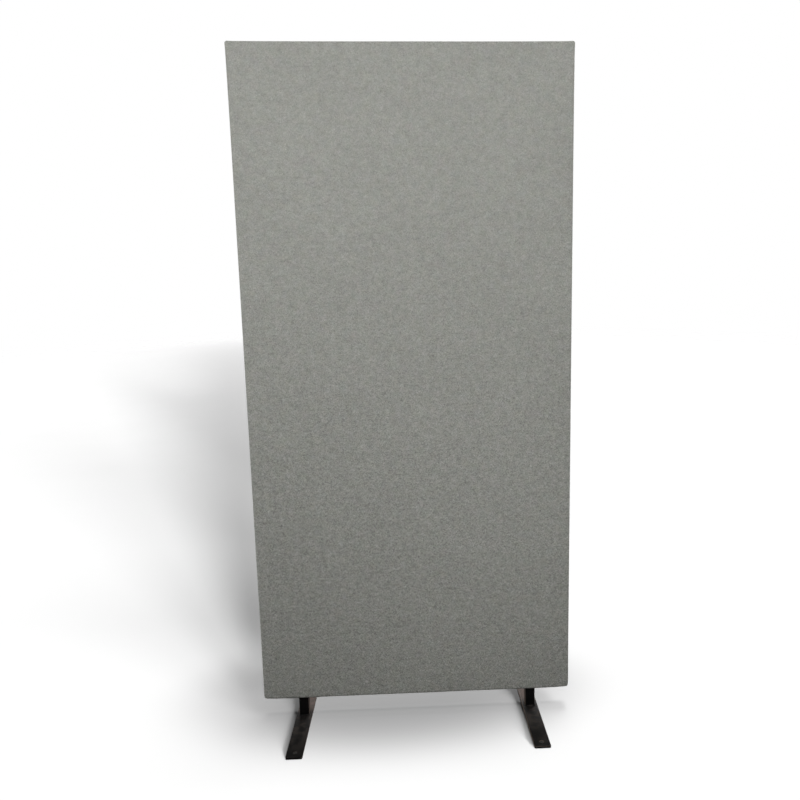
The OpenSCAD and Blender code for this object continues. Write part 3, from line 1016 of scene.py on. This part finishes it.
def metal(name, colour, other, rough, grain, spot=6 * MM, metallic=1.0):
    """Bare or plated steel with cloudy colour, fine grain and worn spots."""
    material, tree, shader = new_material(name)
    place = add(tree, "TexCoord").outputs["Object"]
    cloud = spread(tree, speckle(tree, place, spot, detail=3), 0.35, 0.68)
    feed(tree, shader.inputs["Base Color"], tint(tree, cloud, colour, other))
    fine = speckle(tree, place, grain, detail=3, rough=0.6)
    feed(tree, shader.inputs["Roughness"], vary(tree, fine, rough - 0.08, rough + 0.10))
    shader.inputs["Metallic"].default_value = metallic
    bump = add(tree, "Bump", {"Strength": 0.25, "Distance": grain_depth, "Height": fine})
    feed(tree, shader.inputs["Normal"], bump.outputs[0])
    return material


def nylon():
    """Black moulded nylon, dulled and lightly scratched by the floor."""
    material, tree, shader = new_material("black_nylon")
    place = add(tree, "TexCoord").outputs["Object"]
    scratch = spread(tree, speckle(tree, place, scratch_size, detail=4, rough=0.7), 0.52, 0.7)
    feed(tree, shader.inputs["Base Color"], tint(tree, scratch, grey(0.018), grey(0.06)))
    feed(tree, shader.inputs["Roughness"], blend(tree, scratch, 0.45, 0.7))
    bump = add(tree, "Bump", {"Strength": 0.3, "Distance": scratch_depth, "Height": scratch})
    feed(tree, shader.inputs["Normal"], bump.outputs[0])
    return material


brown_steel = (0.085, 0.075, 0.066, 1)
dark_rub = (0.020, 0.020, 0.019, 1)
light_rub = (0.048, 0.046, 0.043, 1)
yellow_zinc = (0.66, 0.60, 0.40, 1)
pale_zinc = (0.60, 0.62, 0.60, 1)
black_steel = metal(
    "blackened_steel", grey(0.035), brown_steel, rough=0.42, grain=0.5 * MM, metallic=0.6
)
rubbed_steel = metal(
    "rubbed_steel", dark_rub, light_rub, rough=0.5, grain=0.5 * MM, spot=3 * MM, metallic=0.5
)
zinc = metal("yellow_zinc", yellow_zinc, pale_zinc, rough=0.34, grain=0.4 * MM)
wire = metal("staple_wire", grey(0.55), grey(0.68), rough=0.30, grain=0.25 * MM)
nylon_black = nylon()
print("metals", [m.name for m in (black_steel, rubbed_steel, zinc, wire)])

# %% Fastenings and glides
small_edge = 0.25 * MM
washer_edge = 0.2 * MM
rivet_edge = 0.15 * MM
for side in ("left", "right"):
    softened(
        side + "_glides", side + "_floor_glides", small_edge, nylon_black, segments=2
    )
    softened(
        side + "_glide_rivets", side + "_rivets", rivet_edge, rubbed_steel, segments=2
    )
softened("foot_screws", "button_screws", small_edge, black_steel, segments=2)
softened("foot_washers", "plain_washers", washer_edge, black_steel, segments=2)


def dress(material, *nodes):
    """Gives construction pieces their finish."""
    for name in nodes:
        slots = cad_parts[name].data.materials
        slots.clear()
        slots.append(material)
    print(material.name, "on", ", ".join(nodes))


dress(zinc, "frame_screws", "thread_inserts")
dress(wire, "cover_staples", "strip_staples")

# %% [markdown]
# ## Timber, fibre and wadding
#
# Nobody sees the inside of a finished screen, but it is part of it: planed softwood with its
# grain along each piece, two batts of pressed fibre, and a soft white layer under each cloth.

# %% Timber
early_wood = (0.60, 0.42, 0.24, 1)
late_wood = (0.40, 0.22, 0.10, 1)
pale_fibre = (0.68, 0.52, 0.33, 1)
ring_width = 5 * MM
ring_slope = 0.8
wander_size = 30 * MM
wander_rings = 6.0
wood_fibre = 1.2 * MM
wood_relief = 0.1 * MM
grain_stretch = 0.04


def timber(name, along):
    """Planed softwood with its grain along one axis."""
    material, tree, shader = new_material(name)
    place = add(tree, "TexCoord").outputs["Object"]
    stretch = add(tree, "Mapping", {"Vector": place})
    scale = [1.0, 1.0, 1.0]
    scale["xyz".index(along)] = grain_stretch
    stretch.inputs["Scale"].default_value = scale
    grain_place = stretch.outputs[0]
    axes = add(tree, "SeparateXYZ", {0: grain_place}).outputs
    width = axes["X"] if along == "z" else axes["Z"]
    across = maths(tree, "MULTIPLY_ADD", axes["Y"], ring_slope, width)
    wander = maths(tree, "MULTIPLY", speckle(tree, grain_place, wander_size, detail=3), wander_rings)
    rings = maths(tree, "ADD", maths(tree, "DIVIDE", across, ring_width), wander)
    late = spread(tree, maths(tree, "FRACT", rings), 0.55, 0.97)
    fibre = speckle(tree, grain_place, wood_fibre, detail=3, rough=0.6)
    wood = tint(tree, late, early_wood, late_wood)
    wood = tint(tree, spread(tree, fibre, 0.35, 0.7, 0.0, 0.35), wood, pale_fibre)
    feed(tree, shader.inputs["Base Color"], wood)
    feed(tree, shader.inputs["Roughness"], vary(tree, fibre, 0.55, 0.75))
    bump = add(tree, "Bump", {"Strength": 0.3, "Distance": wood_relief, "Height": fibre})
    feed(tree, shader.inputs["Normal"], bump.outputs[0])
    return material


dress(timber("softwood_upright", "z"), "left_stile", "right_stile")
dress(timber("softwood_level", "x"), "top_rail", "cross_rail", "bottom_rail")


# %% Fibre, wadding and felt
clump_fibres = 7
strand_relief = 0.4 * MM


def fibrous(name, dark, light, fleck, fibre):
    """Matted fibres of two colours with flecks of a third."""
    material, tree, shader = new_material(name)
    place = add(tree, "TexCoord").outputs["Object"]
    strands = speckle(tree, place, fibre, detail=4, rough=0.7)
    clumps = speckle(tree, place, fibre * clump_fibres, detail=3)
    colour = tint(tree, spread(tree, strands, 0.38, 0.64), dark, light)
    colour = tint(tree, spread(tree, clumps, 0.52, 0.72, 0.0, 0.5), colour, fleck)
    feed(tree, shader.inputs["Base Color"], colour)
    shader.inputs["Roughness"].default_value = 0.95
    shader.inputs["Sheen Weight"].default_value = 0.2
    shader.inputs["Specular IOR Level"].default_value = 0.2
    bump = add(tree, "Bump", {"Strength": 0.6, "Distance": strand_relief, "Height": strands})
    feed(tree, shader.inputs["Normal"], bump.outputs[0])
    return material


batt_dark = (0.30, 0.26, 0.17, 1)
batt_light = (0.52, 0.47, 0.33, 1)
batt_fleck = (0.20, 0.24, 0.26, 1)
batt_fibre = fibrous("pressed_fibre", batt_dark, batt_light, batt_fleck, 1.5 * MM)
white_fibre = fibrous("white_wadding", grey(0.66), grey(0.86), grey(0.78), 1.0 * MM)
felt = fibrous("black_felt", grey(0.012), grey(0.045), grey(0.03), 0.8 * MM)
print("fibres", [m.name for m in (batt_fibre, white_fibre, felt)])

# %% Batts
batt_edge = 3 * MM
batt_step = 24 * MM
batt_hollow = 1.0 * MM
batt_lump = 50 * MM


def batt(name, node, seed):
    """A pressed fibre batt: soft edges and an uneven face, inside its bay."""
    low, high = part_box(node)
    bm = box_mesh(low, high)
    round_edges(bm, bm.edges[:], batt_edge, 3)
    cut_all(bm, "x", steps(low.x + batt_edge, high.x - batt_edge, batt_step))
    cut_all(bm, "z", steps(low.z + batt_edge, high.z - batt_edge, batt_step))
    bm.normal_update()
    for vert in bm.verts:
        uneven = 0.5 + 0.5 * wave(vert.co.x, vert.co.z, batt_lump, seed)
        vert.co -= vert.normal * batt_hollow * uneven
    piece = finish_piece(bm, name, batt_fibre)
    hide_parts(node)
    print(name, len(piece.data.polygons), "faces")


batt("upper_batt", "upper_core", 1)
batt("lower_batt", "lower_core", 2)

# %% Waddings
wadding_edge = 4.4 * MM


def wadding(name, node, seed):
    """The soft layer on one face of the frame, dipping where the cloth presses it."""
    low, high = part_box(node)
    face_y = low.y if abs(low.y) > abs(high.y) else high.y
    bm = box_mesh(low, high)
    rim = [e for e in bm.edges if all(abs(v.co.y - face_y) < MM for v in e.verts)]
    corners = [e for e in bm.edges if abs(e.verts[0].co.y - e.verts[1].co.y) > MM]
    round_edges(bm, rim + corners, wadding_edge, 4)
    cut_all(bm, "x", steps(low.x + wadding_edge, high.x - wadding_edge, batt_step))
    cut_all(bm, "z", steps(low.z + wadding_edge, high.z - wadding_edge, batt_step))
    for vert in bm.verts:
        share = min(1.0, abs(vert.co.y - (low.y + high.y - face_y)) / (high.y - low.y))
        dip = face_relief(vert.co.x, vert.co.z, seed) * share
        vert.co.y -= math.copysign(dip, face_y)
    bm.normal_update()
    piece = finish_piece(bm, name, white_fibre)
    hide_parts(node)
    print(name, len(piece.data.polygons), "faces")


wadding("front_padding", "front_wadding", front_seed)
wadding("rear_padding", "rear_wadding", rear_seed)

# %% [markdown]
# ## Closing strip
#
# A strip of black felt covers the raw edges of the cloth under the panel. It is cut from a
# roll by hand, so its edges waver. It could be a new flat strip, but a copy of its
# construction piece already has the holes for the screws and staples, so only its two long
# edges have to move.

# %% Closing strip
strip_step = 10 * MM
strip_waver = 0.5 * MM
waver_length = 30 * MM


def closing_strip():
    """The felt strip under the panel, with the holes of its construction piece."""
    low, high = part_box("bottom_strip")
    bm = bmesh.new()
    bm.from_mesh(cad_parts["bottom_strip"].data)
    bmesh.ops.remove_doubles(bm, verts=bm.verts, dist=same_point)
    cut_all(bm, "x", steps(low.x, high.x, strip_step))
    for vert in bm.verts:
        if abs(vert.co.y) > high.y - near:
            uneven = 0.5 + 0.5 * wave(vert.co.x, vert.co.y, waver_length, 5)
            vert.co.y -= math.copysign(strip_waver * uneven, vert.co.y)
    bm.normal_update()
    piece = finish_piece(bm, "felt_strip", felt, smooth=False)
    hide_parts("bottom_strip")
    print("felt_strip", len(piece.data.polygons), "faces")


closing_strip()
